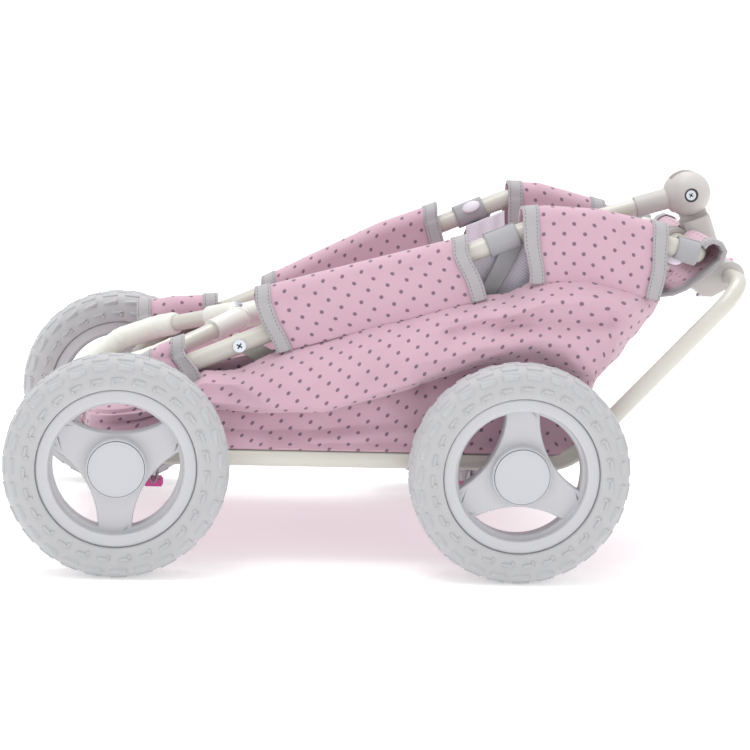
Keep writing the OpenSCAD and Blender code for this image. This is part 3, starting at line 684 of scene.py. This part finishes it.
TAPE = 12.5  # width of the binding
for name, (top, bottom) in FLAPS.items():
    side = SIDES[name.rsplit("_", 1)[1]]
    formula = flap_point(top, bottom, side)
    flap = cloth(f"{name}_cloth", formula, 70, 64, canvas, "dotted_fabric", 1.6)
    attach(flap, "seat")
    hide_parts(name)
    share = TAPE / 1000 / cut[flap.name][0]
    outer = flap_point(top, bottom, side, grow=1.4)
    for end, start in (("front", 0.0), ("rear", 1 - share)):
        def tape(s, t, start=start, outer=outer, side=side, share=share):
            x, y, z = outer(start + share * s, t)
            shift = 1.3 * (1 - smooth((t - 0.36) / 0.06)) - 1.3 * smooth((t - 0.58) / 0.06)
            return x, y + side * shift, z

        band = cloth(f"{name}_{end}_binding", tape, 6, 64, binding_tape, "grey_webbing", 1.4)
        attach(band, "seat")

# %% [markdown]
# ## The tub
# Inside the rim the seat is a soft tub: its sides drop from under the flaps and its floor sags between them.

# %% Tub
TUB_X = [-200, -180, -150, -100, 0, 80, 150, 210, 236]
TUB_TOP = [128, 146, 158, 168, 205, 230, 240, 238, 246]
TUB_LOW = [122, 118, 116, 115, 122, 132, 160, 205, 236]


def tub_point(s, t):
    x = -200 + 436 * s
    top, low = np.interp(x, TUB_X, TUB_TOP), np.interp(x, TUB_X, TUB_LOW)
    angle = np.pi * t
    across = -np.cos(angle)
    y = 88 * np.sign(across) * np.abs(across) ** 0.62 * (1 - 0.06 * np.sin(angle))
    z = top - (top - low) * np.sin(angle) ** 0.75
    z = z + 1.6 * np.sin(x / 19 + y / 23) * np.sin(angle) + 1.0 * np.sin(y / 9 + x / 31) * np.sin(angle)
    return x, y, z


tub = cloth("seat_tub_cloth", tub_point, 140, 90, canvas, "dotted_fabric", 1.2)
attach(tub, "seat")
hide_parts("seat_tub")

# %% [markdown]
# ## The basket
# The basket is slung between the chassis tubes. Its floor sags and its front wall turns up behind the front
# bar.

# %% Basket
def basket_point(s, t):
    x = -239 + 413 * s
    angle = np.pi * t
    across = -np.cos(angle)
    ends = np.minimum(smooth(s / 0.07), smooth((1 - s) / 0.07))
    depth = 26 * ends
    y = 115 * np.sign(across) * np.abs(across) ** 0.45
    z = 102 - depth * np.sin(angle) ** 0.4 - 2.2 * np.sin(angle) * ends * np.abs(np.sin(np.pi * s * 2))
    z = z + 0.7 * np.sin(x / 14 + y / 19) * np.sin(angle)
    return x, y, z


basket = cloth("basket_cloth", basket_point, 150, 90, canvas, "dotted_fabric", 1.2)
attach(basket, "chassis")
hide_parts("basket")

# %% [markdown]
# ## Mesh liners
# A white knitted mesh lines the gap between the middle and rear flaps. Its holes could be cut in the sheet,
# but the little that shows is in the shade of the flaps, so the knit is left to the finish, with its holes as
# painted shade.

# %% Mesh liners
RIM_SLOPE = math.radians(23.3)
CREST = (141.6, 289.9)


def rim_z(x):
    """The height of the rim tube's centre, ahead of its crest."""
    return CREST[1] - (CREST[0] - x) * math.tan(RIM_SLOPE)


def liner_point(side):
    begins = 58 if side < 0 else 86

    def formula(s, t):
        at = begins + (120 - begins) * s
        x = at + 4 * t
        high = rim_z(at) - 9
        low = np.interp(x, [50, 80, 96, 112, 130], [192, 200, 206, 214, 216])
        z = high + (low - high) * t
        y = 90.5 - 1.2 * np.sin(np.pi * t) + 0.8 * np.sin(s * 16 + t * 2)
        return x, side * y, z
    return formula


for name, side in SIDES.items():
    liner = cloth(f"{name}_mesh_liner", liner_point(side), 40, 30, liner_mesh, "white_mesh", 1.0)
    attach(liner, "seat")
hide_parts("mesh_liners")

# %% [markdown]
# ## Bands and their tails
# Grey webbing is wrapped once round each rim tube. The radius grows a little near the end of the turn, as it
# does where webbing laps over itself. The middle band also has a loose tail that hangs inside the body.

# %% Bands round the rim tube
def wrap_point(side, centre, slope, width, radius):
    run = np.array([math.cos(slope), math.sin(slope)])
    up = np.array([-run[1], run[0]])

    def formula(s, t):
        turn = 2 * math.pi * t
        off = (s - 0.5) * width
        thick = radius + 0.8 * smooth((t - 0.88) / 0.05)
        x = centre[0] + run[0] * off + up[0] * thick * np.cos(turn)
        z = centre[1] + run[1] * off + up[1] * thick * np.cos(turn)
        return x, side * (RIM_Y + thick * np.sin(turn)), z
    return formula


def tail_point(side):
    """The band's loose tail: it leaves the underside of the tube and drops forward behind the body."""
    def formula(s, t):
        x = 99 - 24 * t ** 1.2 + (s - 0.5) * 20 * np.cos(0.5 * t)
        z = rim_z(99) - 7 - 52 * t + (s - 0.5) * (9 - 3 * t)
        return x, side * (RIM_Y - 2 - 2 * np.sin(np.pi * t * 0.8) - 2 * (s - 0.5)), z
    return formula


BAND_R = 9.2  # the middle of the webbing, round a tube of 16
# Each band's centre, its slope along the tube, and its width
BANDS = {"middle": ((90, rim_z(90)), RIM_SLOPE, 27), "rear": ((243, 263.2), -math.radians(14.7), 19)}
for name, side in SIDES.items():
    for place, (centre, slope, width) in BANDS.items():
        wrap = wrap_point(side, centre, slope, width, BAND_R)
        band = cloth(f"{name}_{place}_band", wrap, 12, 48, strap_webbing, "grey_webbing", 1.3)
        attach(band, "seat")
    tail = cloth(f"{name}_middle_tail", tail_point(side), 12, 30, strap_webbing, "grey_webbing", 1.3)
    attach(tail, "seat")
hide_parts("webbing_bands")

# %% [markdown]
# ## Snaps
# Each band closes with a low oval snap. A sphere scaled to the snap's half sizes gives its domed face, and a
# matrix lays it on the webbing.

# %% Oval snaps on the bands
SNAP_HALF_SIZE = (8.2, 2.0, 5.6)


def oval_snap(name, side, centre, slope, tilt):
    shape = bmesh.new()
    bmesh.ops.create_uvsphere(shape, u_segments=32, v_segments=16, radius=1.0)
    bmesh.ops.scale(shape, vec=SNAP_HALF_SIZE, verts=shape.verts)
    place = (Matrix.Translation(centre) @ Matrix.Rotation(-slope, 4, "Y")
             @ Matrix.Rotation(side * tilt, 4, "X"))
    bmesh.ops.transform(shape, matrix=place, verts=shape.verts)
    snap = piece(name, shape, snap_plastic, "snap_plastic")
    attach(snap, "seat")
    return snap


for name, side in SIDES.items():
    # the middle snap faces inwards and up; the rear one hangs under the tube
    oval_snap(f"{name}_middle_snap", side, (90, side * (RIM_Y - 7.6), rim_z(90) + 6.2),
                           RIM_SLOPE, -0.7)
    oval_snap(f"{name}_rear_snap", side, (231, side * (RIM_Y + 4.0), 256.5), -0.2, 0.9)
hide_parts("band_snaps")

# %% [markdown]
# ## Basket straps
# Short loops of webbing hang from the basket to the two pairs of buckles. Each is a narrow upright loop, and
# its two ends meet at the top, against the basket.

# %% Straps under the basket
STRAP_WIDTH = 19


def strap_point(x, y, high, low):
    def formula(s, t):
        turn = 2 * math.pi * t
        wide = (s - 0.5) * STRAP_WIDTH
        z = (high + low) / 2 + (high - low) / 2 * np.cos(turn)
        return x + 3.4 * np.sin(turn), y + wide, z
    return formula


for end, x in (("front", -188.6), ("rear", 72.4)):
    for name, side in SIDES.items():
        strap = cloth(f"{end}_{name}_basket_strap", strap_point(x, side * 95, 77, 60.5), 8, 40,
                      strap_webbing, "grey_webbing", 1.4)
        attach(strap, "chassis")
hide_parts("basket_straps")

# %% [markdown]
# ## Screw heads
# The stays and the handle's pivot are held by cross-headed screws. Two crossed dark bars, almost flush with
# the head, are painted shade that stands for the recess, so the CAD screw stays whole.

# %% Painted shade for the cross recesses in the screw heads
# dark crossed bars as painted shade in each screw head's recess
def cross_recess_shade(name, body, x, face_y, z, size):
    shape = bmesh.new()
    for angle in (0.5, 0.5 + math.pi / 2):
        made = bmesh.ops.create_cube(shape, size=1.0)["verts"]
        bmesh.ops.scale(shape, vec=(size, 0.5, size * 0.24), verts=made)
        bmesh.ops.rotate(shape, cent=(0, 0, 0), matrix=Matrix.Rotation(angle, 3, "Y"), verts=made)
    bmesh.ops.translate(shape, vec=(x, face_y, z), verts=shape.verts)
    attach(piece(name, shape, ring_plastic_and_painted_shade, "dark_plastic"), body)


for node, body, size in (("stay_screws", "seat", 5.2), ("handle_pivot_bolt", "handle", 4.2)):
    low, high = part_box(node)
    x, z = (low.x + high.x) * 500, (low.z + high.z) * 500
    for name, side in SIDES.items():
        cross_recess_shade(f"{name}_{node}_recess", body, x, side * (high.y * 1000 - 0.18), z, size)
print("cross recesses:", sum(1 for made in bpy.data.objects if made.name.endswith("_recess")))

# %% [markdown]
# ## The grip
# The foam is a tube pushed over the loop handle. Its path repeats the handle's corners, each rounded, and its
# ends are drawn in a little where they grip the tube.

# %% Foam grip
GRIP_CORNERS = [(-169.6, -62.7, 166.7), (-186.4, -78, 160.7), (-218.4, -78, 149.0), (-263.4, -78, 112.7),
                (-263.4, 78, 112.7), (-218.4, 78, 149.0), (-186.4, 78, 160.7), (-169.6, 62.7, 166.7)]
GRIP_BENDS = [0, 26, 24, 28, 28, 24, 26, 0]


def rounded_path(corners, bends, step=2.0):
    """Points along a polyline whose corners are arcs of the given radii."""
    path = []
    for k, corner in enumerate(corners):
        here = np.array(corner, float)
        if bends[k] == 0:
            path.append(here)
            continue
        into = np.array(corners[k - 1], float) - here
        out = np.array(corners[k + 1], float) - here
        into, out = into / np.linalg.norm(into), out / np.linalg.norm(out)
        half = math.acos(np.clip(into @ out, -1, 1)) / 2
        back = bends[k] / math.tan(half)
        middle = (into + out) / np.linalg.norm(into + out)
        centre = here + middle * bends[k] / math.sin(half)
        a, b = here + into * back - centre, here + out * back - centre
        sweep = math.acos(np.clip(a @ b / (bends[k] ** 2), -1, 1))
        for f in np.linspace(0, 1, 13):
            path.append(centre + (a * math.sin((1 - f) * sweep) + b * math.sin(f * sweep)) / math.sin(sweep))
    dense = [path[0]]
    for a, b in zip(path, path[1:]):
        count = max(1, int(np.linalg.norm(b - a) / step))
        dense += [a + (b - a) * k / count for k in range(1, count + 1)]
    return np.array(dense)


grip_path = rounded_path(GRIP_CORNERS, GRIP_BENDS)
heading = np.gradient(grip_path, axis=0)
heading /= np.linalg.norm(heading, axis=1)[:, None]
sideways = np.cross(heading, np.array([0.55, 0, 0.83]))
sideways /= np.linalg.norm(sideways, axis=1)[:, None]
upward = np.cross(sideways, heading)
GRIP_R = 10.0


def grip_point(s, t):
    k = np.rint(s * (len(grip_path) - 1)).astype(int)
    from_end = np.minimum(k, len(grip_path) - 1 - k)
    # drawn in at the ends, with faint rings along its length
    radius = GRIP_R - 2.6 * np.exp(-from_end / 0.7) + 0.12 * np.sin(k * 0.9)
    turn = (2 * math.pi * t)[:, None]
    at = grip_path[k] + radius[:, None] * (np.cos(turn) * sideways[k] + np.sin(turn) * upward[k])
    return at[:, 0], at[:, 1], at[:, 2]


grip = cloth("handle_grip_foam", grip_point, len(grip_path) - 1, 36, grip_rubber, "grip_foam", 2.4,
             closed=True)
grip.modifiers["thickness"].offset = -1.0  # the wall grows inwards
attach(grip, "handle")
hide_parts("grip_foam")
print("grip length:", round(cut["handle_grip_foam"][0], 3), "m")

# %% [markdown]
# ## Studio
# A plain pale floor that glows faintly, as a lit white sweep does, a pale surround, and two large soft
# lights high above, one on the camera's side and one beyond the stroller. The camera stands two metres away,
# a little towards the front wheels, and looks down by ten degrees.

# %% Floor, light and camera
FLOOR_HALF = 60000  # far enough that its edge never shows
floor_shape = bmesh.new()
bmesh.ops.create_grid(floor_shape, x_segments=1, y_segments=1, size=FLOOR_HALF)
floor_finish = finish_of("matt_white_floor", "#fdfdfd", 1.0,
                         Emission_Color=(1, 1, 1, 1), Emission_Strength=0.3)
floor = piece("floor", floor_shape, floor_finish, "tyre")
del floor["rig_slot"]

world = bpy.data.worlds.new("studio")
world.use_nodes = True
world.node_tree.nodes["Background"].inputs["Color"].default_value = (1, 1, 1, 1)
world.node_tree.nodes["Background"].inputs["Strength"].default_value = 0.86
bpy.context.scene.world = world
bpy.context.scene.view_settings.view_transform = "Standard"


def soft_light(name, place, size, watts):
    lamp = bpy.data.lights.new(name, "AREA")
    lamp.size = size
    lamp.energy = watts
    made = bpy.data.objects.new(name, lamp)
    made.location = place
    made.rotation_euler = (Vector((0, 0, 0.12)) - Vector(place)).to_track_quat("-Z", "Y").to_euler()
    bpy.context.collection.objects.link(made)


soft_light("key", (-1.0, -1.0, 4.1), 1.8, 42)
soft_light("top", (0.4, 1.2, 4.1), 2.4, 64)
print("lights:", len(bpy.data.lights))

YAW, PITCH, ROLL_ANGLE = 0.102075, 0.176081, 0.041589  # radians
DISTANCE, TARGET = 2.065635, (0.000509, 0.0, 0.135503)  # metres
LENS, SENSOR = 114.876096, 36.0  # millimetres
ahead = Vector((math.sin(YAW) * math.cos(PITCH), math.cos(YAW) * math.cos(PITCH), -math.sin(PITCH)))
level = Vector((math.cos(YAW), -math.sin(YAW), 0))
rightward = math.cos(ROLL_ANGLE) * level + math.sin(ROLL_ANGLE) * level.cross(ahead)
up = rightward.cross(ahead)
camera_data = bpy.data.cameras.new("camera")
camera_data.sensor_width = SENSOR
camera_data.lens = LENS
camera_data.clip_start = 0.05
camera = bpy.data.objects.new("camera", camera_data)
turned = Matrix((rightward, up, -ahead)).transposed().to_4x4()
camera.matrix_world = Matrix.Translation(Vector(TARGET) - ahead * DISTANCE) @ turned
bpy.context.collection.objects.link(camera)
bpy.context.scene.camera = camera
